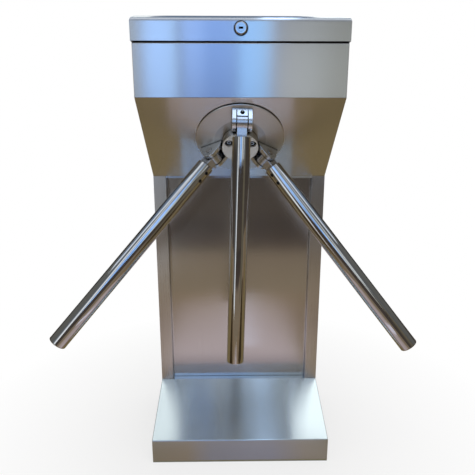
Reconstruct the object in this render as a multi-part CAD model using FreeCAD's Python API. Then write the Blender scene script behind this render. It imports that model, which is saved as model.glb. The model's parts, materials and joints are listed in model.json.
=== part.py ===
"""Tripod turnstile with three drop arms: a sheet-metal C-shaped cabinet, a hub on a 45 degree
axis under the head, and three hinged tube arms. Millimetres, +Z up, +X to the right of a person
facing the hub, the hub side faces -Y. The origin is on the floor under the middle of the foot."""
import FreeCAD, Part
import math
import os

V = FreeCAD.Vector
os.makedirs("parts", exist_ok=True)

# Cabinet, outer sizes
body_width = 420.0
body_depth = 280.0
foot_front_height = 59.0
foot_rear_height = 122.0
slant_bottom_z = 672.0
fold_z = 836.0
seam_z = 938.0
lid_height = 49.0
slant_angle = 45.0
sheet = 2.0
rail_width = 30.0
rail_return = 15.0
flange_width = 22.0
rear_screw_radius = 2.5
fold_radius = 3.0
edge_round = 1.2

# Lid, its hinge and its cam lock
lid_overhang = 2.0
lid_gap = 2.0
lid_edge_radius = 13.0
knuckle_radius = 3.5
hinge_pin_radius = 1.5
hinge_margin = 20.0
hinge_segments = 5
hinge_leaf = 1.5
hinge_leaf_height = 24.0
lock_bezel_radius = 12.0
lock_bezel_round = 2.6
keyhole_half_width = 4.4
keyhole_half_height = 2.0
lock_barrel_radius = 9.5
lock_plug_radius = 6.0
lock_length = 24.0
lock_nut_across = 22.0
lock_nut_face = 10.0
lock_nut_step = 0.6
lock_nut_height = 5.0
cam_length = 20.0
cam_width = 8.0
cam_thickness = 2.5

# Foot and fixings to the floor
floor_plate_thickness = 10.0
anchor_spacing_x = 340.0
anchor_spacing_y = 200.0
anchor_hole_radius = 7.0
cable_hole_radius = 35.0

# Hub on its inclined axis; heights run outwards from the slanted face
hub_along_slant = 0.47
hub_turn = 2.4
flange_radius = 96.5
flange_flat_radius = 58.0
flange_top = 6.0
flange_edge = 4.2
flange_lift = 2.2
flange_chamfer = 0.9
shaft_flange_radius = 40.0
shaft_flange_back = -8.0
shaft_flange_front = 2.0
opening_radius = 46.0
drum_top = 26.0
cap_top = 30.0
cap_radius = 39.0
hub_screw_circle = 28.5
hub_screw_radius = 3.2
hub_screw_head = 5.0
hub_screw_head_height = 7.0
counterbore_radius = 9.0
counterbore_floor = 20.5

# Clevises and arms
pin_radius_from_axis = 66.0
pin_height = 22.5
pin_radius = 5.0
ear_gap = 25.0
ear_thickness = 8.6
ear_round = 17.0
ear_foot = 22.0
block_height = 21.5
block_inside = 17.4
block_tie = 8.0
block_hole_radius = 4.6
block_hole_height = 14.0
tongue_thickness = 21.0
tongue_height = 24.0
tongue_knuckle = 16.2
arm_length = 520.0
arm_tube_radius = 19.0
arm_tube_wall = 2.0
arm_tube_start = 29.0
shoulder_length = 1.0
spigot_length = 58.0
raised_angle = 45.0
dropped_angle = -42.5
latch_hole_radius = 5.75
latch_hole_depth = 9.0
set_screw_radius = 4.0
set_screw_socket = 2.2
set_screw_recess = 0.9
set_screw_places = (43.0, 65.0)

# Shaft, bearings and the locking parts behind the slanted face
frame_thickness = 10.0
frame_up = 92.0
frame_down = -84.0
frame_flange = 36.0
frame_bend = 6.0
frame_bolt_radius = 4.0
frame_bolt_places = (-50.0, 60.0)
housing_radius = 42.0
housing_flange_radius = 62.0
housing_flange_thickness = 10.0
housing_back = -112.0
housing_screw_circle = 53.0
bearing_outer = 31.0
bearing_inner = 12.5
bearing_width = 17.0
front_bearing_face = -14.0
rear_bearing_face = -93.0
shaft_end = -150.0
pawl_plate_front = -94.0
pawl_plate_thickness = 6.0
pawl_plate_half_width = 150.0
pawl_plate_half_height = 58.0
wheel_front = -116.0
wheel_thickness = 10.0
wheel_radius = 56.0
lug_circle = 50.0
lug_radius = 4.5
lug_length = 10.0
lug_offset = 15.0
pawl_front = -103.0
pawl_thickness = 8.0
pawl_pivot_x = 78.0
pawl_pivot_u = 38.0
pawl_post_radius = 5.0
pawl_half_width = 7.0
pawl_nose_u = -5.0
pawl_nose_half = 4.0
pawl_nose_reach = 58.5
plunger_radius = 5.0
push_gap = 0.3
coil_size = 34.0
coil_length = 52.0
coil_gap = 12.0
encoder_radius = 46.0

# Electronics on the inside of the column panel
board_half_width = 75.0
board_low = 430.0
board_high = 560.0
board_thickness = 1.6
board_standoff = 10.0
board_hole_inset = 5.0
supply_half_width = 55.0
supply_low = 200.0
supply_high = 360.0
supply_depth = 38.0
supply_vents = 9

# Clearances
running = 0.05
end_play = 0.1
free = 0.5

half = body_width / 2
front_y = -body_depth / 2
rear_y = body_depth / 2
slant_run = (fold_z - slant_bottom_z) * math.tan(math.radians(slant_angle))
column_y = front_y + slant_run
top_z = seam_z + lid_height
hub_point = V(0, front_y + slant_run * hub_along_slant, fold_z - (fold_z - slant_bottom_z) * hub_along_slant)
hub_place = FreeCAD.Placement(hub_point, FreeCAD.Rotation(V(1, 0, 0), 90 + slant_angle))
lock_z = seam_z + lid_height / 2
lid_front_y = front_y - lid_overhang
hinge_y = rear_y + knuckle_radius
hinge_length = body_width - 2 * hinge_margin
frame_half_width = half - sheet
hinge_z = seam_z + lid_gap / 2


def save(name, shape):
    shape = shape.removeSplitter()
    shape.exportStep("parts/" + name + ".step")
    print(name, len(shape.Solids), round(shape.Volume), shape.isValid())


def box(x0, x1, y0, y1, z0, z1):
    return Part.makeBox(x1 - x0, y1 - y0, z1 - z0, V(x0, y0, z0))


def rod(radius, x, y, z0, z1):
    return Part.makeCylinder(radius, z1 - z0, V(x, y, z0))


def ring(outer, inner, z0, z1):
    return rod(outer, 0, 0, z0, z1).cut(rod(inner, 0, 0, z0 - 1, z1 + 1))


def join(shapes):
    return shapes[0].multiFuse(list(shapes[1:])).removeSplitter()


def plate_yz(points, x0, x1):
    """A flat outline in the Y-Z plane, made solid from x0 to x1."""
    wire = Part.makePolygon([V(x0, y, z) for y, z in points + points[:1]])
    return Part.Face(wire).extrude(V(x1 - x0, 0, 0))


def long_edges(shape, y, z):
    """The full-width edges of a folded sheet at one place of its side view."""
    found = []
    for edge in shape.Edges:
        size = edge.BoundBox
        if abs(size.YMin - y) < 0.01 and abs(size.ZMin - z) < 0.01 and size.XLength > body_width - 1:
            found.append(edge)
    return found


def side_edges(shape, lines):
    """The edges at both ends of a folded sheet along its outer face, given as lines in its side view."""
    found = []
    for edge in shape.Edges:
        size = edge.BoundBox
        if size.XLength > 0.01 or abs(abs(size.XMin) - half) > 0.01:
            continue
        middle = edge.valueAt((edge.FirstParameter + edge.LastParameter) / 2)
        for (y0, z0), (y1, z1) in lines:
            moment = (y1 - y0) * (middle.z - z0) - (z1 - z0) * (middle.y - y0)
            if abs(moment) / math.hypot(y1 - y0, z1 - z0) < 0.45 * sheet:
                found.append(edge)
                break
    return found


def end_rim(shape, x):
    """The edges of a shape that lie in the plane at the given x."""
    return [e for e in shape.Edges if abs(e.BoundBox.XMin - x) < 0.01 and abs(e.BoundBox.XMax - x) < 0.01]


def on_hub(shape):
    """Carry a shape from hub coordinates (X right, Y up the slanted face, Z outwards) to the row frame."""
    moved = shape.copy()
    moved.Placement = hub_place.multiply(moved.Placement)
    return moved


def turned(shape, angle):
    """Turn a shape about the hub axis, clockwise for a person facing the hub."""
    moved = shape.copy()
    moved.rotate(V(0, 0, 0), V(0, 0, 1), -angle)
    return moved


def hexagon(across, x, y, z0, z1):
    corner = across / math.sqrt(3)
    points = [V(x + corner * math.cos(math.radians(60 * k)), y + corner * math.sin(math.radians(60 * k)), z0)
              for k in range(7)]
    return Part.Face(Part.makePolygon(points)).extrude(V(0, 0, z1 - z0))


def socket_screw(x, y, head_radius, head_height, shank_radius, z_under, z_tip):
    """A socket-head screw along Z: the head stands on z_under and the shank ends at z_tip."""
    head = rod(head_radius, x, y, z_under, z_under + head_height)
    head = head.makeChamfer(0.8, [e for e in head.Edges if e.BoundBox.ZMin > z_under + head_height - 0.1])
    head = head.cut(hexagon(head_radius, x, y, z_under + head_height * 0.4, z_under + head_height + 1))
    return head.fuse(rod(shank_radius, x, y, z_tip, z_under + 0.5))


# The outline of the cabinet seen from the side, inset by a given sheet thickness on the hub side
def side_outline(inset):
    skew = inset * math.tan(math.radians(slant_angle / 2))
    foot_run = column_y - front_y
    foot_rise = foot_rear_height - foot_front_height
    foot_drop = inset * math.hypot(foot_run, foot_rise) / foot_run
    foot_slope = foot_rise / foot_run
    return [(front_y + inset, 0.0), (rear_y, 0.0), (rear_y, seam_z), (front_y + inset, seam_z),
            (front_y + inset, fold_z + skew), (column_y + inset, slant_bottom_z + skew),
            (column_y + inset, foot_rear_height - foot_drop + foot_slope * inset),
            (front_y + inset, foot_front_height - foot_drop + foot_slope * inset)]


def cheek(side):
    """A C-shaped side sheet with a front rail along the column and a rear flange for the back panel."""
    inner = half - sheet
    outline = [(y, z) if y < rear_y - 1 else (rear_y - sheet, z) for y, z in side_outline(sheet)]
    skin = plate_yz(outline, inner, half)
    flange_y = rear_y - 2 * sheet
    rear_flange = box(half - flange_width, half, flange_y, flange_y + sheet, floor_plate_thickness, seam_z)
    rail_low = foot_rear_height
    rail_high = slant_bottom_z
    rail_inner = half - rail_width
    rail = box(rail_inner, half, column_y, column_y + sheet, rail_low, rail_high)
    back = box(rail_inner, rail_inner + sheet, column_y, column_y + rail_return, rail_low, rail_high)
    whole = join([skin, rear_flange, rail, back])
    rear_strip = box(inner, half, rear_y - sheet, rear_y, 0, seam_z)
    whole = whole.fuse(rear_strip).removeSplitter()
    for shank in frame_bolt_shanks():
        whole = whole.cut(on_hub(shank))
    for x, z in rear_screw_places():
        if x > 0:
            whole = whole.cut(Part.makeCylinder(rear_screw_radius + 0.1, 10, V(x, rear_y - 8, z), V(0, 1, 0)))
    if side < 0:
        whole = whole.mirror(V(0, 0, 0), V(1, 0, 0))
    return whole


def head_skin():
    """The folded front of the head: upright face, slanted face with the hub opening, short lips."""
    skew = sheet * math.tan(math.radians(slant_angle / 2))
    lip = 5.0
    outer = [(front_y, seam_z), (front_y, fold_z), (column_y, slant_bottom_z), (column_y, slant_bottom_z - lip)]
    inner = [(column_y + sheet, slant_bottom_z - lip), (column_y + sheet, slant_bottom_z + skew),
             (front_y + sheet, fold_z + skew), (front_y + sheet, seam_z - sheet),
             (front_y + 14, seam_z - sheet), (front_y + 14, seam_z)]
    skin = plate_yz(outer + inner, -half, half)
    folds = long_edges(skin, front_y, fold_z) + long_edges(skin, front_y, seam_z)
    skin = skin.makeFillet(fold_radius, folds)
    skin = skin.makeFillet(edge_round, side_edges(skin, [(outer[0], outer[1]), (outer[1], outer[2])]))
    rail_notch = box(half - rail_width - 0.4, half + 1, column_y - 0.5, column_y + sheet + 1,
                     slant_bottom_z - lip - 1, slant_bottom_z)
    lip_end = box(half - sheet, half + 1, front_y + sheet, front_y + 15, seam_z - sheet - 1, seam_z + 1)
    for notch in (rail_notch, lip_end):
        skin = skin.cut(notch).cut(notch.mirror(V(0, 0, 0), V(1, 0, 0)))
    return skin.cut(on_hub(rod(opening_radius, 0, 0, -20, 10)))


def foot_cover():
    """The folded foot cover: upright front, sloping top and a level edge back to the column panel."""
    slope = (foot_rear_height - foot_front_height) / (column_y - front_y)
    drop = sheet * math.hypot(1, slope)
    reach = rail_return - 0.2
    outer = [(front_y, 0.0), (front_y, foot_front_height), (column_y, foot_rear_height),
             (column_y + reach, foot_rear_height)]
    under = foot_rear_height - sheet
    inner = [(column_y + reach, under), (column_y + (drop - sheet) / slope, under),
             (front_y + sheet, foot_front_height + slope * sheet - drop), (front_y + sheet, 0.0)]
    cover = plate_yz(outer + inner, -half, half)
    cover = cover.makeFillet(fold_radius, long_edges(cover, front_y, foot_front_height))
    cover = cover.makeFillet(edge_round, side_edges(cover, [(outer[0], outer[1]), (outer[1], outer[2])]))
    trim = box(half - rail_width - 0.4, half + 1, column_y - 0.02, column_y + 20, foot_rear_height - 4,
               foot_rear_height + 20)
    return cover.cut(trim).cut(trim.mirror(V(0, 0, 0), V(1, 0, 0)))


def column_panel():
    """The recessed front panel, seated on the ends of the rail returns."""
    y0 = column_y + rail_return
    return box(-half + sheet, half - sheet, y0, y0 + sheet, floor_plate_thickness, slant_bottom_z + 6)


def rear_panel():
    side = half - sheet - 0.3
    panel = box(-side, side, rear_y - sheet, rear_y, floor_plate_thickness, seam_z - 0.5)
    for x, z in rear_screw_places():
        panel = panel.cut(Part.makeCylinder(rear_screw_radius + 0.1, 10, V(x, rear_y - 6, z), V(0, 1, 0)))
    return panel


def rear_screw_places():
    x = half - flange_width / 2 - 1
    return [(s * x, z) for s in (-1, 1) for z in (60.0, 340.0, 620.0, 890.0)]


def rear_screws():
    screws = []
    for x, z in rear_screw_places():
        head = Part.makeCylinder(4.6, 2.4, V(x, rear_y, z), V(0, 1, 0))
        head = head.makeFillet(1.6, [e for e in head.Edges if e.BoundBox.YMin > rear_y + 2])
        slot = Part.makeCylinder(1.5, 2, V(x, rear_y + 1.2, z), V(0, 1, 0))
        shank = Part.makeCylinder(rear_screw_radius, 2 * sheet, V(x, rear_y - 2 * sheet, z), V(0, 1, 0))
        screws.append(head.cut(slot).fuse(shank))
    return Part.makeCompound(screws)


def floor_plate():
    inner = half - sheet
    plate = box(-inner, inner, front_y + sheet, rear_y - sheet, 0, floor_plate_thickness)
    for sx in (-1, 1):
        for sy in (-1, 1):
            plate = plate.cut(rod(anchor_hole_radius, sx * anchor_spacing_x / 2, sy * anchor_spacing_y / 2, -1,
                                  floor_plate_thickness + 1))
    return plate.cut(rod(cable_hole_radius, 0, (column_y + rear_y) / 2, -1, floor_plate_thickness + 1))


def upper_edges(shape, height):
    """The front and side edges of a box at its top; the rear edge stays sharp."""
    return [e for e in shape.Edges if e.BoundBox.ZMin > height - 0.01 and e.BoundBox.YMin < rear_y - sheet - 1]


def lid():
    """A shallow cover with rounded front and side edges, open below."""
    x = half + lid_overhang
    z0 = seam_z + lid_gap
    shell = box(-x, x, lid_front_y, rear_y, z0, top_z)
    shell = shell.makeFillet(lid_edge_radius, upper_edges(shell, top_z))
    room = box(-x + sheet, x - sheet, lid_front_y + sheet, rear_y - sheet, z0 - 1, top_z - sheet)
    room = room.makeFillet(lid_edge_radius - sheet, upper_edges(room, top_z - sheet))
    lock_hole = Part.makeCylinder(lock_barrel_radius, 10, V(0, lid_front_y - 4, lock_z), V(0, 1, 0))
    return shell.cut(room).cut(lock_hole)


def hinge_leaf_shape(lower):
    """One leaf of the lid's long hinge with its share of the knuckles."""
    step = hinge_length / hinge_segments
    z0 = hinge_z - hinge_leaf_height if lower else hinge_z + 0.6
    z1 = hinge_z - 0.6 if lower else hinge_z + hinge_leaf_height
    leaf = box(-hinge_length / 2, hinge_length / 2, rear_y, rear_y + hinge_leaf, z0, z1)
    start = V(-hinge_length / 2 - 1, hinge_y, hinge_z)
    clear = Part.makeCylinder(knuckle_radius + 0.35, hinge_length + 2, start, V(1, 0, 0))
    leaf = leaf.cut(clear)
    bore = Part.makeCylinder(hinge_pin_radius + running, hinge_length + 2, start, V(1, 0, 0))
    for k in range(hinge_segments):
        if (k % 2 == 0) != lower:
            continue
        x0 = -hinge_length / 2 + k * step + 0.3
        barrel = Part.makeCylinder(knuckle_radius, step - 0.6, V(x0, hinge_y, hinge_z), V(1, 0, 0))
        za, zb = (hinge_z - 9, hinge_z) if lower else (hinge_z, hinge_z + 9)
        web = box(x0, x0 + step - 0.6, rear_y, rear_y + hinge_leaf, za, zb)
        leaf = leaf.fuse(barrel).fuse(web)
    return leaf.cut(bore).removeSplitter()


def hinge_pin():
    start = V(-hinge_length / 2, hinge_y, hinge_z)
    return Part.makeCylinder(hinge_pin_radius, hinge_length, start, V(1, 0, 0))


def lock_body():
    """Bezel in front of the lid, threaded barrel behind it; the plug turns in the bore."""
    bezel = Part.makeCylinder(lock_bezel_radius, 3, V(0, lid_front_y - 3, lock_z), V(0, 1, 0))
    front = [e for e in bezel.Edges if e.BoundBox.YMax < lid_front_y - 2.9]
    bezel = bezel.makeFillet(lock_bezel_round, front)
    barrel = Part.makeCylinder(lock_barrel_radius, lock_length, V(0, lid_front_y - 1, lock_z), V(0, 1, 0))
    start = V(0, lid_front_y - 5, lock_z)
    bore = Part.makeCylinder(lock_plug_radius + running, lock_length + 10, start, V(0, 1, 0))
    return bezel.fuse(barrel).cut(bore).removeSplitter()


def lock_nut():
    """Hexagon nut with a round washer face against the lid."""
    y0 = lid_front_y + sheet
    corner = lock_nut_across / math.sqrt(3)
    turns = [math.radians(60 * k) for k in range(7)]
    points = [V(corner * math.cos(t), y0 + lock_nut_step, lock_z + corner * math.sin(t)) for t in turns]
    nut = Part.Face(Part.makePolygon(points)).extrude(V(0, lock_nut_height - lock_nut_step, 0))
    nut = nut.fuse(Part.makeCylinder(lock_nut_face, lock_nut_step, V(0, y0, lock_z), V(0, 1, 0)))
    return nut.cut(Part.makeCylinder(lock_barrel_radius, 20, V(0, y0 - 5, lock_z), V(0, 1, 0)))


def lock_plug():
    """Turning plug with a flat keyhole."""
    y0 = lid_front_y - 3.4
    plug = Part.makeCylinder(lock_plug_radius, lock_length + 4.4, V(0, y0, lock_z), V(0, 1, 0))
    keyhole = box(-keyhole_half_width, keyhole_half_width, y0 - 1, y0 + 9, lock_z - keyhole_half_height,
                  lock_z + keyhole_half_height)
    return plug.cut(keyhole)


def lock_cam():
    """Flat tongue on the plug's inner end, hanging down when the lock is open."""
    y0 = lid_front_y - 1 + lock_length + 1.0
    arm = box(-cam_width / 2, cam_width / 2, y0 + 1, y0 + 1 + cam_thickness, lock_z - cam_length, lock_z)
    boss = Part.makeCylinder(lock_plug_radius + 2, cam_thickness, V(0, y0 + 1, lock_z), V(0, 1, 0))
    return arm.fuse(boss).removeSplitter()


def keeper():
    """Bracket on the head's upper lip; its hook stands over the cam when the cam is turned sideways."""
    cam_y = lid_front_y + lock_length + 1.0
    y0 = front_y + sheet
    z0 = seam_z - 40
    plate = box(12, 32, y0, y0 + 2, z0, seam_z - sheet)
    step = box(12, 32, y0, front_y + 14 + 2, seam_z - sheet - 2, seam_z - sheet)
    post_y = front_y + 14 + free
    post = box(12, 32, post_y, post_y + 2, seam_z - sheet - 2, lock_z + 8)
    hook = box(12, 32, post_y, cam_y + 8, lock_z + 6, lock_z + 8)
    return join([plate, step, post, hook])


def hub_flange():
    """The wide turned disc under the hub: flat in the middle, then a shallow cone with a chamfered rim."""
    inner = 14.0
    rim = flange_radius - flange_chamfer
    outline = [V(inner, 0, shaft_flange_front), V(flange_flat_radius - 6, 0, shaft_flange_front),
               V(flange_flat_radius - 2, 0, flange_lift), V(flange_radius, 0, flange_lift),
               V(flange_radius, 0, flange_edge - flange_chamfer), V(rim, 0, flange_height(rim)),
               V(flange_flat_radius, 0, flange_top), V(inner, 0, flange_top)]
    face = Part.Face(Part.makePolygon(outline + outline[:1]))
    disc = face.revolve(V(0, 0, 0), V(0, 0, 1), 360)
    for angle in (60, 180, 300):
        disc = disc.cut(turned(rod(hub_screw_radius + 0.3, 0, hub_screw_circle, -10, 20), angle))
    return disc


def tangent(point, centre, radius, side):
    """Where the tangent from a point touches a circle, on the given side of the line to its centre."""
    dx, dy = centre[0] - point[0], centre[1] - point[1]
    distance = math.hypot(dx, dy)
    reach = math.sqrt(distance ** 2 - radius ** 2)
    angle = math.atan2(dy, dx) + side * math.asin(radius / distance)
    return point[0] + reach * math.cos(angle), point[1] + reach * math.sin(angle)


def flange_height(radius):
    """Height of the flange's upper side at a distance from the hub axis."""
    share = (radius - flange_flat_radius) / (flange_radius - flange_flat_radius)
    return flange_top + max(0.0, share) * (flange_edge - flange_top)


def flank():
    """The straight outer side of a clevis: its foot on the flange and its upper end on the round head."""
    reach = pin_radius_from_axis + ear_foot
    foot = (reach, flange_height(reach))
    return foot, tangent(foot, (pin_radius_from_axis, pin_height), ear_round, -1)


def ear(x0, x1):
    """One lug of a clevis: a round head about the pin, straight flanks, the outer face's edge rounded."""
    centre = (pin_radius_from_axis, pin_height)
    low_in = (34.0, flange_top)
    high_in = (38.5, 19.5)
    flat_end = (flange_flat_radius, flange_top)
    low_out, t2 = flank()
    t1 = tangent(high_in, centre, ear_round, 1)
    lean = math.radians(65)
    crown = (centre[0] + ear_round * math.cos(lean), centre[1] + ear_round * math.sin(lean))
    p = [V(x0, r, a) for r, a in (low_in, high_in, t1, crown, t2, low_out, flat_end)]
    edges = [Part.makeLine(p[0], p[1]), Part.makeLine(p[1], p[2]), Part.Arc(p[2], p[3], p[4]).toShape(),
             Part.makeLine(p[4], p[5]), Part.makeLine(p[5], p[6]), Part.makeLine(p[6], p[0])]
    lug = Part.Face(Part.Wire(edges)).extrude(V(x1 - x0, 0, 0))
    face_edges = end_rim(lug, max((x0, x1), key=abs))
    free_edges = [e for e in face_edges if e.BoundBox.ZMax > flange_top + 0.1 and e.BoundBox.YMin > 38]
    return lug.makeFillet(edge_round, free_edges)


def block_part(half_width, height):
    """A wall along the outer side of a clevis, up to the given height."""
    inside = pin_radius_from_axis + block_inside
    foot, touch = flank()
    lean = (touch[0] - foot[0]) / (touch[1] - foot[1])
    top = foot[0] + lean * (height - foot[1])
    outline = ((inside, flange_height(inside)), foot, (top, height), (inside, height))
    points = [V(-half_width, r, a) for r, a in outline]
    return Part.Face(Part.makePolygon(points + points[:1])).extrude(V(2 * half_width, 0, 0))


def clevis_block():
    """Block between the ears with the latch's service hole; a low tie joins it to the ears."""
    block = block_part(tongue_thickness / 2, block_height)
    tie = block_part(ear_gap / 2 + 0.5, block_tie)
    start = V(0, pin_radius_from_axis, block_hole_height)
    hole = Part.makeCylinder(block_hole_radius, 2 * ear_foot, start, V(0, 1, 0))
    return block.fuse(tie).cut(hole)


def hub_body():
    """Drum with three clevises, each of two ears and a block between them."""
    parts = [rod(cap_radius, 0, 0, flange_top, drum_top)]
    for k in range(3):
        parts.append(turned(clevis_block(), 120 * k))
        for side in (-1, 1):
            x0, x1 = sorted((side * ear_gap / 2, side * (ear_gap / 2 + ear_thickness)))
            parts.append(turned(ear(x0, x1), 120 * k))
    body = join(parts)
    slot_room = tongue_knuckle + 0.6
    for k in range(3):
        room_start = V(-ear_gap / 2, pin_radius_from_axis, pin_height)
        room = Part.makeCylinder(slot_room, ear_gap, room_start, V(1, 0, 0))
        bore = Part.makeCylinder(pin_radius, 90, V(-45, pin_radius_from_axis, pin_height), V(1, 0, 0))
        body = body.cut(turned(room, 120 * k)).cut(turned(bore, 120 * k))
        body = body.cut(turned(rod(hub_screw_radius + 0.3, 0, hub_screw_circle, -10, 60), 60 + 120 * k))
        recess = rod(counterbore_radius, 0, hub_screw_circle, counterbore_floor, 60)
        body = body.cut(turned(recess, 60 + 120 * k))
    return body


def hub_cap():
    cap = rod(cap_radius, 0, 0, drum_top, cap_top)
    cap = cap.makeChamfer(0.8, [e for e in cap.Edges if e.BoundBox.ZMin > cap_top - 0.1])
    for k in range(3):
        recess = rod(counterbore_radius, 0, hub_screw_circle, drum_top - 1, cap_top + 1)
        cap = cap.cut(turned(recess, 60 + 120 * k))
    return cap


def hub_screws():
    screws = [turned(socket_screw(0, hub_screw_circle, hub_screw_head, hub_screw_head_height, hub_screw_radius,
                                  counterbore_floor, shaft_flange_back + 1), 60 + 120 * k) for k in range(3)]
    return Part.makeCompound(screws)


def hinge_pins():
    reach = ear_gap / 2 + ear_thickness
    pins = []
    for k in range(3):
        pin = Part.makeCylinder(pin_radius, 2 * reach, V(-reach, pin_radius_from_axis, pin_height), V(1, 0, 0))
        for side in (-1, 1):
            head = Part.makeCylinder(pin_radius + 1.6, 1.4, V(side * reach, pin_radius_from_axis, pin_height),
                                     V(side, 0, 0))
            pin = pin.fuse(head.makeFillet(0.9, end_rim(head, side * (reach + 1.4))))
        pins.append(turned(pin.removeSplitter(), 120 * k))
    return Part.makeCompound(pins)


# An arm is drawn along +Z from its hinge pin, which lies along X
def arm_tongue():
    """Knuckle and flat tongue, a round shoulder and the spigot that fills the end of the tube."""
    knuckle = Part.makeCylinder(tongue_knuckle, tongue_thickness, V(-tongue_thickness / 2, 0, 0), V(1, 0, 0))
    side = tongue_thickness / 2
    deep = tongue_height / 2
    bar = box(-side, side, -deep, deep, 0, arm_tube_start)
    bar = bar.makeFillet(edge_round, [e for e in bar.Edges if e.BoundBox.ZLength > arm_tube_start - 0.1])
    shoulder_low = arm_tube_start - shoulder_length
    shoulder = rod(arm_tube_radius - 0.6, 0, 0, shoulder_low, arm_tube_start)
    shoulder = shoulder.makeChamfer(0.8, [e for e in shoulder.Edges if e.BoundBox.ZMax < shoulder_low + 0.1])
    spigot = rod(arm_tube_radius - arm_tube_wall, 0, 0, arm_tube_start, arm_tube_start + spigot_length)
    tongue = join([knuckle, bar, shoulder, spigot])
    tongue = tongue.cut(Part.makeCylinder(pin_radius + running, 60, V(-30, 0, 0), V(1, 0, 0)))
    angle = math.radians(raised_angle - 180)
    way = V(0, math.sin(angle), math.cos(angle))
    mouth = way * (tongue_knuckle - latch_hole_depth)
    tongue = tongue.cut(Part.makeCylinder(latch_hole_radius, 20, mouth, way))
    for z in set_screw_places:
        tongue = tongue.cut(Part.makeCylinder(set_screw_radius, 20, V(0, -arm_tube_radius + 8, z), V(0, -1, 0)))
    return tongue


def arm_tube():
    tube = rod(arm_tube_radius, 0, 0, arm_tube_start, arm_length - 3)
    tube = tube.cut(rod(arm_tube_radius - arm_tube_wall, 0, 0, arm_tube_start - 1, arm_length))
    for z in set_screw_places:
        tube = tube.cut(Part.makeCylinder(set_screw_radius, 20, V(0, -5, z), V(0, -1, 0)))
    return tube


def arm_cap():
    """Plug with a low dome that closes the free end of the tube."""
    dome = rod(arm_tube_radius, 0, 0, arm_length - 3, arm_length)
    dome = dome.makeFillet(2.4, [e for e in dome.Edges if e.BoundBox.ZMin > arm_length - 0.1])
    plug = rod(arm_tube_radius - arm_tube_wall, 0, 0, arm_length - 20, arm_length - 2)
    return dome.fuse(plug).removeSplitter()


def arm_set_screws():
    screws = []
    for z in set_screw_places:
        outer = -arm_tube_radius + set_screw_recess
        length = 8.0 - set_screw_recess
        screw = Part.makeCylinder(set_screw_radius, length, V(0, outer + length, z), V(0, -1, 0))
        socket = Part.makeCylinder(set_screw_socket, 4, V(0, outer + 3, z), V(0, -1, 0))
        screws.append(screw.cut(socket))
    return Part.makeCompound(screws)


def on_arm(shape, clock, lean):
    """Place an arm piece at its clevis: clock about the hub axis, lean outwards from that axis."""
    moved = shape.copy()
    moved.rotate(V(0, 0, 0), V(1, 0, 0), -lean)
    moved.translate(V(0, pin_radius_from_axis, pin_height))
    return on_hub(turned(moved, clock + hub_turn))


# The rotating parts behind the slanted face
def main_shaft():
    shaft = rod(shaft_flange_radius, 0, 0, shaft_flange_back, shaft_flange_front)
    pilot = rod(13.7, 0, 0, shaft_flange_front, flange_top)
    shoulder = rod(16.0, 0, 0, front_bearing_face + end_play, shaft_flange_back)
    stem = rod(bearing_inner, 0, 0, shaft_end, front_bearing_face + end_play)
    shaft = join([shaft, pilot, shoulder, stem])
    for k in range(3):
        shaft = shaft.cut(turned(rod(hub_screw_radius, 0, hub_screw_circle, -20, 20), 60 + 120 * k))
    keyway = box(-4, 4, bearing_inner - 3.5, bearing_inner + 2, wheel_front - wheel_thickness, wheel_front)
    return shaft.cut(keyway)


def bearing(face):
    """A ball bearing with shallow shield grooves on both faces."""
    body = ring(bearing_outer, bearing_inner + running, face - bearing_width, face)
    groove = ring(bearing_outer - 5, bearing_inner + 5, face - 1.0, face + 1)
    other = ring(bearing_outer - 5, bearing_inner + 5, face - bearing_width - 1, face - bearing_width + 1.0)
    return body.cut(groove).cut(other)


def bearing_spacer():
    front = front_bearing_face - bearing_width - end_play
    return ring(16.0, bearing_inner, rear_bearing_face + end_play, front)


def bearing_housing():
    """Flanged tube that carries both bearings behind the frame plate."""
    back = -sheet - frame_thickness
    flange = rod(housing_flange_radius, 0, 0, back - housing_flange_thickness, back)
    tube = rod(housing_radius, 0, 0, housing_back, back)
    collar = rod(housing_radius + 10, 0, 0, pawl_plate_front, pawl_plate_front + 8)
    body = join([flange, tube, collar])
    body = body.cut(rod(bearing_outer, 0, 0, front_bearing_face - bearing_width, back + 1))
    body = body.cut(rod(bearing_outer, 0, 0, housing_back - 1, rear_bearing_face))
    body = body.cut(rod(bearing_outer - 5, 0, 0, housing_back, back))
    for k in range(4):
        body = body.cut(turned(rod(4.2, 0, housing_screw_circle, -40, 0), 45 + 90 * k))
    return body


def housing_screws():
    back = -sheet - frame_thickness - housing_flange_thickness
    screws = []
    for k in range(4):
        screw = socket_screw(0, housing_screw_circle, 6.5, 8.0, 4.0, 0, -housing_flange_thickness - 8)
        screw.rotate(V(0, housing_screw_circle, 0), V(0, 1, 0), 180)
        screw.translate(V(0, 0, back))
        screws.append(turned(screw, 45 + 90 * k))
    return Part.makeCompound(screws)


def frame_plate():
    """Stiff plate behind the slanted skin, its ends bent back against the side sheets."""
    back = -sheet - frame_thickness
    plate = box(-frame_half_width, frame_half_width, frame_down, frame_up, back, -sheet)
    for side in (-1, 1):
        x0, x1 = sorted((side * frame_half_width, side * (frame_half_width - frame_bend)))
        plate = plate.fuse(box(x0, x1, frame_down, frame_up, back - frame_flange, back))
    plate = plate.removeSplitter().cut(rod(opening_radius, 0, 0, -60, 10))
    for k in range(4):
        plate = plate.cut(turned(rod(4.0, 0, housing_screw_circle, -40, 0), 45 + 90 * k))
    for shank in frame_bolt_shanks():
        plate = plate.cut(shank)
    return plate


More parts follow.
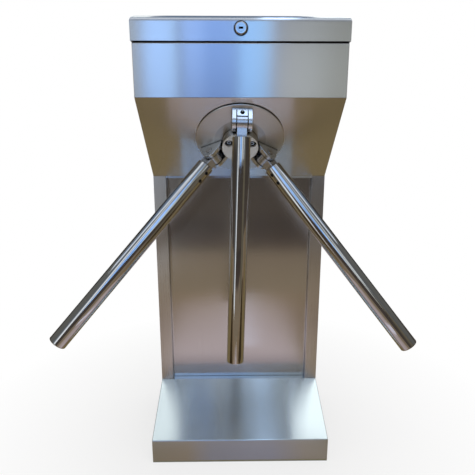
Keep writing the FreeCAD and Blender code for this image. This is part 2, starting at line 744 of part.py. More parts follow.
def frame_bolts():
    """Button-head bolts through the side sheets into the bent ends of the frame plate."""
    back = -sheet - frame_thickness - frame_flange / 2
    bolts = []
    for side in (-1, 1):
        for u in frame_bolt_places:
            head = Part.makeCylinder(7.0, 4.0, V(side * half, u, back), V(side, 0, 0))
            head = head.makeFillet(2.6, end_rim(head, side * (half + 4.0)))
            head = head.cut(Part.makeCylinder(2.4, 3, V(side * (half + 2), u, back), V(side, 0, 0)))
            bolts.append(head.fuse(frame_bolt_shank(side, u)).removeSplitter())
    return Part.makeCompound(bolts)


def frame_bolt_shank(side, u):
    back = -sheet - frame_thickness - frame_flange / 2
    length = half - frame_half_width + frame_bend
    return Part.makeCylinder(frame_bolt_radius, length, V(side * half, u, back), V(-side, 0, 0))


def frame_bolt_shanks():
    return [frame_bolt_shank(side, u) for side in (-1, 1) for u in frame_bolt_places]


def pawl_plate():
    """Second plate, screwed to the housing's collar; it carries the pawls and the coils."""
    back = pawl_plate_front - pawl_plate_thickness
    plate = box(-pawl_plate_half_width, pawl_plate_half_width, -pawl_plate_half_height, pawl_plate_half_height,
                back, pawl_plate_front)
    return plate.cut(rod(housing_radius, 0, 0, back - 1, pawl_plate_front + 1))


def pawl_posts():
    back = pawl_plate_front - pawl_plate_thickness
    posts = []
    for side in (-1, 1):
        x = side * pawl_pivot_x
        post = rod(pawl_post_radius, x, pawl_pivot_u, pawl_front - pawl_thickness - 3, back)
        posts.append(post.fuse(rod(pawl_post_radius + 4, x, pawl_pivot_u, pawl_front + 0.5, back)))
    return Part.makeCompound(posts)


def pawl(side):
    """Swinging stop: an eye on the post and a hanging bar with a nose turned to the lug circle."""
    back = pawl_front - pawl_thickness
    eye = rod(pawl_post_radius + 6, pawl_pivot_x, pawl_pivot_u, back, pawl_front)
    low = pawl_nose_u - pawl_nose_half
    bar_outer = pawl_pivot_x + pawl_half_width
    bar = box(pawl_pivot_x - pawl_half_width, bar_outer, low, pawl_pivot_u, back, pawl_front)
    points = [V(pawl_pivot_x - 2, low, back), V(pawl_pivot_x - 2, pawl_nose_u + 10, back),
              V(pawl_nose_reach, pawl_nose_u + pawl_nose_half, back), V(pawl_nose_reach, low, back)]
    nose = Part.Face(Part.makePolygon(points + points[:1])).extrude(V(0, 0, pawl_thickness))
    shape = join([eye, bar, nose])
    shape = shape.cut(rod(pawl_post_radius + running, pawl_pivot_x, pawl_pivot_u, back - 1, pawl_front + 1))
    return shape if side > 0 else shape.mirror(V(0, 0, 0), V(1, 0, 0))


def coil_span():
    x0 = pawl_pivot_x + pawl_half_width + coil_gap
    return x0, x0 + coil_length


def coil(side):
    """Solenoid: a square yoke with the plunger's bore through it, standing on the pawl plate."""
    x0, x1 = coil_span()
    middle = pawl_front - pawl_thickness / 2
    top = pawl_plate_front - pawl_plate_thickness
    body = box(x0, x1, -coil_size / 2, coil_size / 2, middle - coil_size / 2, top)
    body = body.cut(Part.makeCylinder(plunger_radius + 0.1, 200, V(x0 - 10, 0, middle), V(1, 0, 0)))
    return body if side > 0 else body.mirror(V(0, 0, 0), V(1, 0, 0))


def plunger(side):
    """Sliding core of the coil; its round head pushes the pawl's bar."""
    x0, x1 = coil_span()
    middle = pawl_front - pawl_thickness / 2
    dome = pawl_pivot_x + pawl_half_width + push_gap + plunger_radius
    core = Part.makeCylinder(plunger_radius, x1 - 6 - dome, V(dome, 0, middle), V(1, 0, 0))
    core = core.fuse(Part.makeSphere(plunger_radius, V(dome, 0, middle))).removeSplitter()
    return core if side > 0 else core.mirror(V(0, 0, 0), V(1, 0, 0))


def lock_wheel():
    """Disc on the shaft with three lugs that a pawl can catch."""
    wheel = rod(wheel_radius, 0, 0, wheel_front - wheel_thickness, wheel_front)
    wheel = wheel.cut(rod(bearing_inner, 0, 0, wheel_front - 50, wheel_front + 1))
    wheel = wheel.cut(box(-4, 4, 0, bearing_inner + 3.3, wheel_front - 50, wheel_front + 1))
    for k in range(3):
        hole = rod(11.0, 0, 33.0, wheel_front - 50, wheel_front + 1)
        wheel = wheel.cut(turned(hole, 60 + 120 * k))
        lug = rod(lug_radius, 0, lug_circle, wheel_front - 1, wheel_front + lug_length)
        wheel = wheel.fuse(turned(lug, 90 + lug_offset - hub_turn + 120 * k))
    return wheel.removeSplitter()


def wheel_key():
    z1 = wheel_front
    return box(-4, 4, bearing_inner - 3.5, bearing_inner + 3.3, z1 - wheel_thickness, z1)


def encoder_disc():
    """Thin slotted disc that the position sensor reads."""
    z1 = wheel_front - wheel_thickness - 4
    disc = ring(encoder_radius, bearing_inner, z1 - 1.5, z1)
    boss = ring(20.0, bearing_inner, z1, z1 + 4)
    disc = disc.fuse(boss).removeSplitter()
    for k in range(24):
        disc = disc.cut(turned(box(-1.5, 1.5, encoder_radius - 9, encoder_radius - 3, z1 - 3, z1 + 1), 15 * k))
    return disc


def shaft_nut():
    z1 = wheel_front - wheel_thickness - 5.5
    nut = hexagon(36.0, 0, 0, z1 - 12, z1)
    return nut.cut(rod(bearing_inner, 0, 0, z1 - 20, z1 + 1))


def position_sensor():
    """Fork that straddles the rim of the encoder disc, on a foot that stands on the pawl plate."""
    z1 = wheel_front - wheel_thickness - 4
    foot_z = pawl_plate_front - pawl_plate_thickness
    edge = -pawl_plate_half_height
    leg = box(-9, 9, edge - 14, edge - 4, z1 - 8, pawl_plate_front)
    tie = box(-9, 9, edge - 14, edge, foot_z, pawl_plate_front)
    fork = box(-9, 9, edge - 8, edge + 20, z1 - 8, z1 + 3)
    slot = box(-10, 10, edge + 8, edge + 30, z1 - 3.5, z1 + 1.5)
    return join([leg, fork, tie]).cut(slot)


def control_board():
    """Circuit board on the inside of the column panel, with its larger parts."""
    y0 = column_y + rail_return + sheet + board_standoff
    y1 = y0 + board_thickness
    high = board_high - board_low
    parts = [box(-board_half_width, board_half_width, y0, y1, board_low, board_high)]
    blocks = ((-0.80, -0.27, 0.05, 0.17, 0.15), (0.13, 0.83, 0.05, 0.17, 0.15),
              (-0.83, -0.45, 0.54, 0.85, 0.23), (-0.11, 0.24, 0.46, 0.66, 0.045),
              (0.51, 0.75, 0.54, 0.74, 0.205))
    for left, right, low, up, tall in blocks:
        parts.append(box(left * board_half_width, right * board_half_width, y1, y1 + tall * board_half_width,
                         board_low + low * high, board_low + up * high))
    shape = join(parts)
    for x, z in board_holes():
        shape = shape.cut(Part.makeCylinder(1.6, 20, V(x, y0 - 5, z), V(0, 1, 0)))
    return shape


def board_holes():
    x = board_half_width - board_hole_inset
    low = board_low + 0.21 * (board_high - board_low)
    return [(side * x, z) for side in (-1, 1) for z in (low, board_high - 4)]


def board_posts():
    y0 = column_y + rail_return + sheet
    posts = []
    for x, z in board_holes():
        post = Part.makeCylinder(3.5, board_standoff, V(x, y0, z), V(0, 1, 0))
        posts.append(post.fuse(Part.makeCylinder(1.6, board_standoff + 4, V(x, y0, z), V(0, 1, 0))))
    return Part.makeCompound(posts)


def power_supply():
    """Closed supply box with vent slots, on the inside of the column panel."""
    y0 = column_y + rail_return + sheet
    case = box(-supply_half_width, supply_half_width, y0, y0 + supply_depth, supply_low, supply_high)
    pitch = (supply_high - supply_low) / (supply_vents + 2)
    slot = 0.73 * supply_half_width
    for k in range(supply_vents):
        z = supply_low + (k + 1.3) * pitch
        case = case.cut(box(-slot, slot, y0 + supply_depth - 3, y0 + supply_depth + 2, z, z + 0.35 * pitch))
    return case


cabinet = {
    "left_cheek": cheek(-1), "right_cheek": cheek(1), "head_skin": head_skin(), "foot_cover": foot_cover(),
    "column_panel": column_panel(), "rear_panel": rear_panel(), "rear_panel_screws": rear_screws(),
    "floor_plate": floor_plate(), "lid_hinge_lower_leaf": hinge_leaf_shape(True), "lock_keeper": keeper(),
    "control_board": control_board(), "board_posts": board_posts(), "power_supply": power_supply(),
    "lid_hinge_pin": hinge_pin(), "lid": lid(), "lid_hinge_upper_leaf": hinge_leaf_shape(False),
    "lock_body": lock_body(), "lock_nut": lock_nut(), "lock_plug": lock_plug(), "lock_cam": lock_cam(),
}
for name, shape in cabinet.items():
    save(name, shape)

fixed_on_axis = {
    "frame_plate": frame_plate(), "frame_bolts": frame_bolts(), "bearing_housing": bearing_housing(),
    "housing_screws": housing_screws(), "pawl_plate": pawl_plate(), "pawl_posts": pawl_posts(),
    "front_bearing": bearing(front_bearing_face), "rear_bearing": bearing(rear_bearing_face),
    "left_coil": coil(-1), "right_coil": coil(1), "left_plunger": plunger(-1), "right_plunger": plunger(1),
    "left_pawl": pawl(-1), "right_pawl": pawl(1), "position_sensor": position_sensor(),
}
for name, shape in fixed_on_axis.items():
    save(name, on_hub(shape))

turning = {
    "hub_flange": hub_flange(), "hub_body": hub_body(), "hub_cap": hub_cap(), "hub_screws": hub_screws(),
    "hinge_pins": hinge_pins(), "main_shaft": main_shaft(), "bearing_spacer": bearing_spacer(),
    "lock_wheel": lock_wheel(), "wheel_key": wheel_key(), "encoder_disc": encoder_disc(),
    "shaft_nut": shaft_nut(),
}
for name, shape in turning.items():
    save(name, on_hub(turned(shape, hub_turn)))

arms = {"top_arm": (0, dropped_angle), "right_arm": (120, raised_angle), "left_arm": (240, raised_angle)}
for arm, (clock, lean) in arms.items():
    save(arm + "_tongue", on_arm(arm_tongue(), clock, lean))
    save(arm + "_tube", on_arm(arm_tube(), clock, lean))
    save(arm + "_cap", on_arm(arm_cap(), clock, lean))
    save(arm + "_set_screws", on_arm(arm_set_screws(), clock, lean))
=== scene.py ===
# %% [markdown]
# # A tripod turnstile in brushed stainless steel
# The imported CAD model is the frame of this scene: every node already sits in metres where the
# real piece sits. This lesson dresses it. It sets a camera, a small studio with a pale floor,
# and one procedural finish for each kind of metal on the machine.

# %% Load the frame
import json
import math

import bmesh
import bpy
from mathutils import Matrix, Vector


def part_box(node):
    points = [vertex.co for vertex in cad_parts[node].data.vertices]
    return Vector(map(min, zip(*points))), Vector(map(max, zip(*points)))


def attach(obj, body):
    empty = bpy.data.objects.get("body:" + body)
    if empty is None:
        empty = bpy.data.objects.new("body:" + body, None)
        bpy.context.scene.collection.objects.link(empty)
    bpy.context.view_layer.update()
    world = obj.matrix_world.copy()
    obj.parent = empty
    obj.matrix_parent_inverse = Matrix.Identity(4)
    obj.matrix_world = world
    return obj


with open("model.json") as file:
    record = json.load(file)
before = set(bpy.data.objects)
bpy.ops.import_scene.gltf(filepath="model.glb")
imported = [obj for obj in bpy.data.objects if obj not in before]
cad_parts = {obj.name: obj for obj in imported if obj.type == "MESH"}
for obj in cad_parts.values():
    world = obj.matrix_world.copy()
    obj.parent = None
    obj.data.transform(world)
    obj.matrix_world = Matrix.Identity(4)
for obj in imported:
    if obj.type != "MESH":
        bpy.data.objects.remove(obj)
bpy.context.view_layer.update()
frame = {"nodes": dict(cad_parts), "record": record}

nodes = frame["nodes"]

# %% [markdown]
# The camera stands a metre in front of the head, level with the hub, with a wide lens, and looks
# slightly down. A wide lens close by makes the head look broad and the foot narrow, which is how
# the picture of the real machine looks. A long lens would draw the column as wide as the head, so
# the lens comes first, before any finish is judged.

# %% Camera
SENSOR = 36.0
IMAGE_PIXELS = 475
FOCAL_PIXELS = 411.6
CAMERA_PLACE = (-0.0185, -0.993, 0.743)
CAMERA_PITCH = 12.5
CAMERA_YAW = -0.8
CAMERA_CLIP = 0.02

camera_data = bpy.data.cameras.new("camera")
camera_data.sensor_width = SENSOR
camera_data.lens = SENSOR * FOCAL_PIXELS / IMAGE_PIXELS
camera_data.clip_start = CAMERA_CLIP
camera = bpy.data.objects.new("camera", camera_data)
camera.location = CAMERA_PLACE
camera.rotation_euler = (math.radians(90 - CAMERA_PITCH), 0, math.radians(CAMERA_YAW))
scene = bpy.context.scene
scene.collection.objects.link(camera)
scene.camera = camera
scene.view_settings.view_transform = "Standard"
print("lens:", round(camera_data.lens, 2), "mm")

# %% [markdown]
# A node material is a small graph. These helpers add a node, start a material, and give the
# coordinates and the noise that a pattern follows, so that each finish below reads as a short
# recipe.

# %% Helpers for node graphs
def add_node(tree, kind, **settings):
    node = tree.nodes.new(kind)
    for name, value in settings.items():
        setattr(node, name, value)
    return node


def empty_finish(name):
    """A material whose graph holds nothing but its output."""
    material = bpy.data.materials.new(name)
    material.use_nodes = True
    tree = material.node_tree
    tree.nodes.clear()
    return material, tree, add_node(tree, "ShaderNodeOutputMaterial")


def new_finish(name):
    material, tree, output = empty_finish(name)
    shader = add_node(tree, "ShaderNodeBsdfPrincipled")
    tree.links.new(shader.outputs["BSDF"], output.inputs["Surface"])
    return material, tree, shader


def object_coordinates(tree, place=(0, 0, 0), turn=(0, 0, 0)):
    where = add_node(tree, "ShaderNodeTexCoord")
    mapping = add_node(tree, "ShaderNodeMapping", vector_type="TEXTURE")
    mapping.inputs["Location"].default_value = place
    mapping.inputs["Rotation"].default_value = turn
    tree.links.new(where.outputs["Object"], mapping.inputs["Vector"])
    return mapping.outputs["Vector"]


def stretched(tree, vector, scale):
    stretch = add_node(tree, "ShaderNodeVectorMath", operation="MULTIPLY")
    stretch.inputs[1].default_value = scale
    tree.links.new(vector, stretch.inputs[0])
    return stretch.outputs["Vector"]


def length_of(tree, vector):
    radius = add_node(tree, "ShaderNodeVectorMath", operation="LENGTH")
    tree.links.new(vector, radius.inputs[0])
    return radius.outputs["Value"]


def noise(tree, vector, scale, detail, roughness):
    texture = add_node(tree, "ShaderNodeTexNoise")
    texture.inputs["Scale"].default_value = scale
    texture.inputs["Detail"].default_value = detail
    texture.inputs["Roughness"].default_value = roughness
    tree.links.new(vector, texture.inputs["Vector"])
    return texture.outputs["Fac"]


print("graph helpers ready")

# %% [markdown]
# A noise is a value from 0 to 1 with most of it near the middle. The next helpers turn that value
# into a colour, a roughness or a height. The last one paints shade into narrow gaps: ambient
# occlusion finds them and darkens the colour there.

# %% Helpers for colour, roughness and height
GAP_SHADE_SAMPLES = 8
GAP_SHADE_POWER = 1.6


def ramp(tree, value, low, high, start=0.3, end=0.7):
    colours = add_node(tree, "ShaderNodeValToRGB")
    colours.color_ramp.elements[0].position = start
    colours.color_ramp.elements[0].color = (*low, 1)
    colours.color_ramp.elements[1].position = end
    colours.color_ramp.elements[1].color = (*high, 1)
    tree.links.new(value, colours.inputs["Fac"])
    return colours.outputs["Color"]


def spread(tree, value, low, high, start=0.3, end=0.7):
    remap = add_node(tree, "ShaderNodeMapRange")
    remap.inputs["From Min"].default_value = start
    remap.inputs["From Max"].default_value = end
    remap.inputs["To Min"].default_value = low
    remap.inputs["To Max"].default_value = high
    tree.links.new(value, remap.inputs["Value"])
    return remap.outputs["Result"]


def with_clouds(tree, marks, clouds, share):
    """Fine marks plus a share of a slow, cloudy noise."""
    both = add_node(tree, "ShaderNodeMath", operation="MULTIPLY_ADD")
    both.inputs[1].default_value = share
    tree.links.new(clouds, both.inputs[0])
    tree.links.new(marks, both.inputs[2])
    return both.outputs["Value"]


def dimmed(tree, colour, factor):
    shade = add_node(tree, "ShaderNodeVectorMath", operation="SCALE")
    tree.links.new(colour, shade.inputs[0])
    tree.links.new(factor, shade.inputs["Scale"])
    return shade.outputs["Vector"]


def bump(tree, shader, height, strength, distance):
    node = add_node(tree, "ShaderNodeBump")
    node.inputs["Strength"].default_value = strength
    node.inputs["Distance"].default_value = distance
    tree.links.new(height, node.inputs["Height"])
    tree.links.new(node.outputs["Normal"], shader.inputs["Normal"])


# Painted shade: ambient occlusion darkens the colour where another surface stands close.
def painted_gap_shade(tree, colour, reach):
    gap = add_node(tree, "ShaderNodeAmbientOcclusion", samples=GAP_SHADE_SAMPLES)
    gap.inputs["Distance"].default_value = reach
    depth = add_node(tree, "ShaderNodeMath", operation="POWER")
    depth.inputs[1].default_value = GAP_SHADE_POWER
    tree.links.new(gap.outputs["AO"], depth.inputs[0])
    return dimmed(tree, colour, depth.outputs["Value"])


print("finish helpers ready")

# %% [markdown]
# ## Brushed sheet
# The cabinet is stainless sheet with a satin grain. An abrasive belt leaves thousands of fine
# parallel scratches, so the metal mirrors sharply along the grain and smears across it. The
# smear is the shader's anisotropy. The scratches that an eye can pick out are a noise stretched
# along the grain, which changes the roughness, the colour and the height a little.

# %% Brushed sheet
STEEL_LOW = (0.70, 0.70, 0.705)
STEEL_HIGH = (0.77, 0.77, 0.77)
SHEET_CLOUD_SHARE = 0.35
SHEET_RANGE = (0.45, 0.9)
SHEET_GAP_SHADE = 0.002


def brushed_sheet(name, grain, across, rough, smear_share, low=STEEL_LOW, high=STEEL_HIGH, metallic=1.0):
    material, tree, shader = new_finish(name)
    plain = object_coordinates(tree)
    scratches = noise(tree, stretched(tree, plain, grain), scale=1.0, detail=4.0, roughness=0.7)
    clouds = noise(tree, plain, scale=7.0, detail=3.0, roughness=0.5)
    both = with_clouds(tree, scratches, clouds, SHEET_CLOUD_SHARE)
    metal = ramp(tree, both, low, high, *SHEET_RANGE)
    # The base colour carries painted shade in narrow gaps.
    tree.links.new(painted_gap_shade(tree, metal, SHEET_GAP_SHADE), shader.inputs["Base Color"])
    tree.links.new(spread(tree, both, *rough, *SHEET_RANGE), shader.inputs["Roughness"])
    shader.inputs["Metallic"].default_value = metallic
    shader.inputs["Anisotropic"].default_value = smear_share
    smear = add_node(tree, "ShaderNodeTangent", direction_type="RADIAL", axis=across)
    tree.links.new(smear.outputs["Tangent"], shader.inputs["Tangent"])
    bump(tree, shader, scratches, strength=0.12, distance=0.00006)
    return material


LEVEL = (4, 1500, 1500)
UPRIGHT = (1500, 1500, 4)
PALE_LOW = (0.78, 0.78, 0.785)
PALE_HIGH = (0.86, 0.86, 0.86)
WORN_LOW = (0.60, 0.66, 0.68)
WORN_HIGH = (0.68, 0.74, 0.76)
level_grain = brushed_sheet("steel_level_grain", LEVEL, "X", (0.16, 0.20), 1.0)
upright_grain = brushed_sheet("steel_upright_grain", UPRIGHT, "Z", (0.15, 0.20), 0.8)
cheek_grain = brushed_sheet("steel_cheek_grain", UPRIGHT, "Z", (0.26, 0.32), 0.7, PALE_LOW, PALE_HIGH)
foot_grain = brushed_sheet("steel_foot_grain", LEVEL, "X", (0.18, 0.24), 1.0, WORN_LOW, WORN_HIGH, 0.94)
print("brushed finishes:", level_grain.name, upright_grain.name, cheek_grain.name, foot_grain.name)

# %% [markdown]
# ## Turned hub
# The hub and its flange come off a lathe, so their tool marks are rings about the hub's axis.
# The Mapping node brings the axis upright at the hub's centre, and the distance from that axis
# drives the noise. A texture on plain coordinates would draw straight lines across the disc. The
# flat middle of the flange is painted darker, as painted shade for the darker reflection it shows:
# the same distance shows where.

# %% Turned steel
HUB_POINT = (0.0, -0.06292, 0.75892)
HUB_TILT = math.radians(135)
FLAT_MIDDLE_SHADE_ZONE = (0.0555, 0.0575)
TURNED_CLOUD_SHARE = 0.4
TURNED_RANGE = (0.45, 0.95)


def turned_steel(name, low, high, rough, rings=900.0, metallic=1.0, reach=0.004, inner_shade=1.0):
    material, tree, shader = new_finish(name)
    plain = object_coordinates(tree, HUB_POINT, (HUB_TILT, 0, 0))
    radius = length_of(tree, stretched(tree, plain, (1, 1, 0)))
    along = add_node(tree, "ShaderNodeCombineXYZ")
    tree.links.new(radius, along.inputs["X"])
    marks = noise(tree, along.outputs["Vector"], scale=rings, detail=3.0, roughness=0.7)
    clouds = noise(tree, plain, scale=30.0, detail=3.0, roughness=0.5)
    both = with_clouds(tree, marks, clouds, TURNED_CLOUD_SHARE)
    metal = ramp(tree, both, low, high, *TURNED_RANGE)
    # Painted shade: the flat middle of the flange is dimmed, and narrow gaps are darkened.
    shaded_zones = dimmed(tree, metal, spread(tree, radius, inner_shade, 1.0, *FLAT_MIDDLE_SHADE_ZONE))
    tree.links.new(painted_gap_shade(tree, shaded_zones, reach), shader.inputs["Base Color"])
    tree.links.new(spread(tree, both, *rough, *TURNED_RANGE), shader.inputs["Roughness"])
    shader.inputs["Metallic"].default_value = metallic
    bump(tree, shader, marks, strength=0.1, distance=0.00005)
    return material


hub_finish = turned_steel("steel_turned", (0.64, 0.64, 0.63), (0.78, 0.78, 0.77), (0.30, 0.40),
                          reach=0.0012, inner_shade=0.80)
clevis_finish = turned_steel("steel_satin", (0.66, 0.70, 0.75), (0.76, 0.80, 0.85), (0.20, 0.28),
                             rings=700.0, metallic=0.95, reach=0.006)
cap_finish = turned_steel("aluminium_matt", (0.80, 0.79, 0.76), (0.92, 0.91, 0.88), (0.38, 0.5),
                          rings=500.0, metallic=0.5)
print("turned finishes:", hub_finish.name, clevis_finish.name, cap_finish.name)

# %% [markdown]
# ## Polished tube and small metal
# The arms are polished until they mirror the room, with only faint hairlines left. Screws, the
# lock and the inner parts are everyday metal: their finish is an even grain whose size and
# roughness differ from part to part.

# %% Polished and plain metal
GRAIN_GAP_SHADE = 0.005


def grainy(name, low, high, rough, grain=400.0, metal=1.0, height=0.00004):
    material, tree, shader = new_finish(name)
    fine = stretched(tree, object_coordinates(tree), (grain, grain, grain))
    specks = noise(tree, fine, scale=1.0, detail=3.0, roughness=0.6)
    # The colour carries painted shade in narrow gaps.
    colour = painted_gap_shade(tree, ramp(tree, specks, low, high), GRAIN_GAP_SHADE)
    tree.links.new(colour, shader.inputs["Base Color"])
    tree.links.new(spread(tree, specks, *rough), shader.inputs["Roughness"])
    shader.inputs["Metallic"].default_value = metal
    bump(tree, shader, specks, strength=0.1, distance=height)
    return material


polish_finish = grainy("steel_polished", (0.62, 0.62, 0.62), (0.68, 0.68, 0.68), (0.05, 0.09), 60.0,
                       height=0.00001)
tongue_finish = grainy("steel_milled", (0.60, 0.63, 0.68), (0.70, 0.73, 0.78), (0.20, 0.28), 500.0, 0.92)
oxide_finish = grainy("steel_oxide", (0.03, 0.03, 0.035), (0.07, 0.07, 0.075), (0.3, 0.45), 600.0, 0.6)
finishes = {
    "body_steel": level_grain,
    "plate_steel": grainy("steel_plate", (0.40, 0.40, 0.41), (0.50, 0.50, 0.51), (0.35, 0.5)),
    "turned_steel": hub_finish,
    "arm_polished": polish_finish,
    "cap_aluminium": cap_finish,
    "fastener_steel": grainy("steel_fastener", (0.56, 0.56, 0.57), (0.66, 0.66, 0.67), (0.20, 0.30), 700.0),
    "lock_chrome": grainy("chrome_lock", (0.60, 0.61, 0.62), (0.70, 0.71, 0.72), (0.08, 0.16), 500.0),
    "housing_iron": grainy("iron_cast", (0.10, 0.10, 0.11), (0.17, 0.17, 0.18), (0.55, 0.7), 500.0, 0.6,
                           0.0002),
    "bearing_steel": grainy("steel_bearing", (0.50, 0.50, 0.51), (0.60, 0.60, 0.61), (0.12, 0.2)),
    "coil_black": grainy("coil_wrap", (0.02, 0.02, 0.022), (0.05, 0.05, 0.052), (0.4, 0.55), 900.0, 0.0,
                         0.0002),
    "sensor_black": grainy("sensor_shell", (0.025, 0.025, 0.027), (0.045, 0.045, 0.047), (0.45, 0.6), 900.0,
                           0.0),
    "board_green": grainy("board_lacquer", (0.01, 0.10, 0.035), (0.02, 0.16, 0.06), (0.3, 0.45), 300.0, 0.0),
    "brass_post": grainy("brass_turned", (0.62, 0.43, 0.17), (0.75, 0.55, 0.25), (0.2, 0.32), 500.0),
    "case_aluminium": grainy("aluminium_case", (0.55, 0.56, 0.57), (0.66, 0.67, 0.68), (0.35, 0.45)),
}
print("finishes:", len(finishes))

# %% [markdown]
# Each CAD node knows its record slot, and the slot names its finish. Some sheets differ: the
# cheeks and the column panel are cut with the grain upright, so they smear a mirrored band to the
# sides, and the cheeks with their rails get a paler, duller finish. Shoes have scuffed the
# foot cover, so it is not quite a mirror and takes a little of the light from above. The hub's
# lugs and the tongues of the arms are milled, not polished like the tubes, and the set screws that
# hold the tubes have the black oxide of most such screws.

# %% Put the finishes on
slot_of = {entry["node"]: entry["material_slot"] for entry in frame["record"]["subparts"]}
print("slots:", len(set(slot_of.values())), "nodes with a slot:", len(slot_of))
special = {"left_cheek": cheek_grain, "right_cheek": cheek_grain, "column_panel": upright_grain,
           "foot_cover": foot_grain, "hub_body": clevis_finish}
for arm in ("top_arm", "right_arm", "left_arm"):
    special[arm + "_tongue"] = tongue_finish
    special[arm + "_set_screws"] = oxide_finish
for name, part in nodes.items():
    part.data.materials.clear()
    part.data.materials.append(special.get(name, finishes[slot_of[name]]))

# %% [markdown]
# ## Black shade pieces
# Three thin black pieces are painted shade: a ring behind the hub's disc, a ring under the lock's
# bezel and a strip on the mouth of the head, under the lid. They stand in gaps that show dark and
# show only as dark lines. A ring could be a torus primitive, but a small circle spun about an axis
# also gives the axis by name, so the same helper serves the tilted hub and the upright lock.

# %% Shade rings
RING_SIDES = 12
RING_STEPS = 96
# A black finish for the painted shade pieces.
black_shade_finish = grainy("painted_shade_black", (0.012, 0.012, 0.013), (0.03, 0.03, 0.031), (0.55, 0.7), 900.0, 0.0)


def mesh_object(name, mesh, finish):
    data = bpy.data.meshes.new(name)
    mesh.to_mesh(data)
    mesh.free()
    data.materials.append(finish)
    made = bpy.data.objects.new(name, data)
    scene.collection.objects.link(made)
    return made


def shade_piece(name, mesh, body):
    bmesh.ops.recalc_face_normals(mesh, faces=mesh.faces)
    piece = mesh_object(name, mesh, black_shade_finish)
    piece.data.shade_smooth()
    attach(piece, body)
    print(name, "faces:", len(piece.data.polygons))


def shade_ring(name, radius, thickness, height, place, tilt, body):
    mesh = bmesh.new()
    bmesh.ops.create_circle(mesh, cap_ends=False, segments=RING_SIDES, radius=thickness / 2)
    bmesh.ops.rotate(mesh, matrix=Matrix.Rotation(math.radians(90), 3, "X"), verts=mesh.verts)
    bmesh.ops.translate(mesh, vec=(radius, 0, height), verts=mesh.verts)
    bmesh.ops.spin(mesh, geom=mesh.verts[:] + mesh.edges[:], cent=(0, 0, 0), axis=(0, 0, 1),
                   angle=math.radians(360), steps=RING_STEPS, use_merge=True)
    turn = Matrix.Translation(place) @ Matrix.Rotation(tilt, 4, "X")
    bmesh.ops.transform(mesh, matrix=turn, verts=mesh.verts)
    shade_piece(name, mesh, body)


# Painted shade: black rings stand in the dark gaps behind the hub's disc and under the lock's bezel.
HUB_SHADE_THICKNESS = 0.002
HUB_SHADE_RADIUS = 0.0935
HUB_SHADE_LIFT = 0.0001
LOCK_SHADE_THICKNESS = 0.0015
hub_shade_height = HUB_SHADE_THICKNESS / 2 + HUB_SHADE_LIFT
shade_ring("hub_shade_ring", HUB_SHADE_RADIUS, HUB_SHADE_THICKNESS, hub_shade_height, HUB_POINT, HUB_TILT, "cabinet")
lock_low, lock_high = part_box("lock_body")
lid_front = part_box("lid")[0][1]
lock_place = ((lock_low[0] + lock_high[0]) / 2, lid_front - LOCK_SHADE_THICKNESS / 2, (lock_low[2] + lock_high[2]) / 2)
lock_shade_radius = (lock_high[0] - lock_low[0]) / 2 + LOCK_SHADE_THICKNESS / 2
shade_ring("lock_shade_ring", lock_shade_radius, LOCK_SHADE_THICKNESS, 0.0, lock_place, math.radians(90), "lid")

# %% [markdown]
# The strip under the lid follows the mouth of the head on three sides. One rectangle is inset to
# make a flat frame, its middle is taken out, the back is cut off with a plane, and the rest is
# drawn up to its height and rounded. An inset leaves the outer edge of a lone face alone unless it
# is told to use the boundary.

# %% Lid shade strip
SHADE_STRIP_WIDTH = 0.004
SHADE_STRIP_HEIGHT = 0.0016
SHADE_STRIP_SIDE = 0.0005
SHADE_STRIP_FRONT = 0.003
SHADE_STRIP_BACK = 3 * SHADE_STRIP_WIDTH
SHADE_STRIP_ROUND = SHADE_STRIP_HEIGHT / 3


def rectangle(width, length):
    mesh = bmesh.new()
    bmesh.ops.create_grid(mesh, x_segments=1, y_segments=1, size=0.5)
    bmesh.ops.scale(mesh, vec=(width, length, 1), verts=mesh.verts)
    return mesh


head_low, head_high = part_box("head_skin")
rear_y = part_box("rear_panel")[1][1]
deep = rear_y - head_low[1] - SHADE_STRIP_FRONT
middle = (0, head_low[1] + SHADE_STRIP_FRONT + deep / 2, head_high[2])
strip = rectangle(head_high[0] - head_low[0] - 2 * SHADE_STRIP_SIDE, deep)
bmesh.ops.translate(strip, vec=middle, verts=strip.verts)
bmesh.ops.inset_region(strip, faces=strip.faces[:], thickness=SHADE_STRIP_WIDTH, use_even_offset=True,
                       use_boundary=True)
inside = min(strip.faces, key=lambda face: (face.calc_center_median() - Vector(middle)).length)
bmesh.ops.delete(strip, geom=[inside], context="FACES_ONLY")
bmesh.ops.bisect_plane(strip, geom=strip.verts[:] + strip.edges[:] + strip.faces[:], clear_outer=True,
                       plane_co=(0, rear_y - SHADE_STRIP_BACK, 0), plane_no=(0, 1, 0))
raised = bmesh.ops.extrude_face_region(strip, geom=strip.faces[:])["geom"]
top = [item for item in raised if isinstance(item, bmesh.types.BMVert)]
bmesh.ops.translate(strip, vec=(0, 0, SHADE_STRIP_HEIGHT), verts=top)
rims = [edge for edge in strip.edges if all(v in top for v in edge.verts) and len(edge.link_faces) == 2]
bmesh.ops.bevel(strip, geom=rims, offset=SHADE_STRIP_ROUND, affect="EDGES", segments=2, profile=0.5, material=-1)
# Painted shade: this black strip stands in the dark gap under the lid.
shade_piece("lid_shade_strip", strip, "cabinet")

# %% [markdown]
# ## Studio
# The floor is pale and plain. Where the camera or a mirror looks at it far from the machine it
# melts into the white surround, and close to the machine it stays a lit surface, so the shadow
# is kept. The Light Path node tells the rays that look from the rays that only carry light.

# %% Floor
FLOOR_WIDTH = 16.0
FLOOR_COLOUR = (0.86, 0.86, 0.86, 1)
GLOW_SHARE = (0.7, 1.0)
GLOW_REACH = (0.25, 0.8)


def larger(tree, first, second):
    node = add_node(tree, "ShaderNodeMath", operation="MAXIMUM")
    tree.links.new(first, node.inputs[0])
    tree.links.new(second, node.inputs[1])
    return node.outputs["Value"]


def seen_rays(tree):
    """1 where the camera, a mirror or glass looks, 0 for rays that only carry light."""
    path = add_node(tree, "ShaderNodeLightPath").outputs
    seen = larger(tree, path["Is Camera Ray"], path["Is Glossy Ray"])
    return larger(tree, seen, path["Is Transmission Ray"])


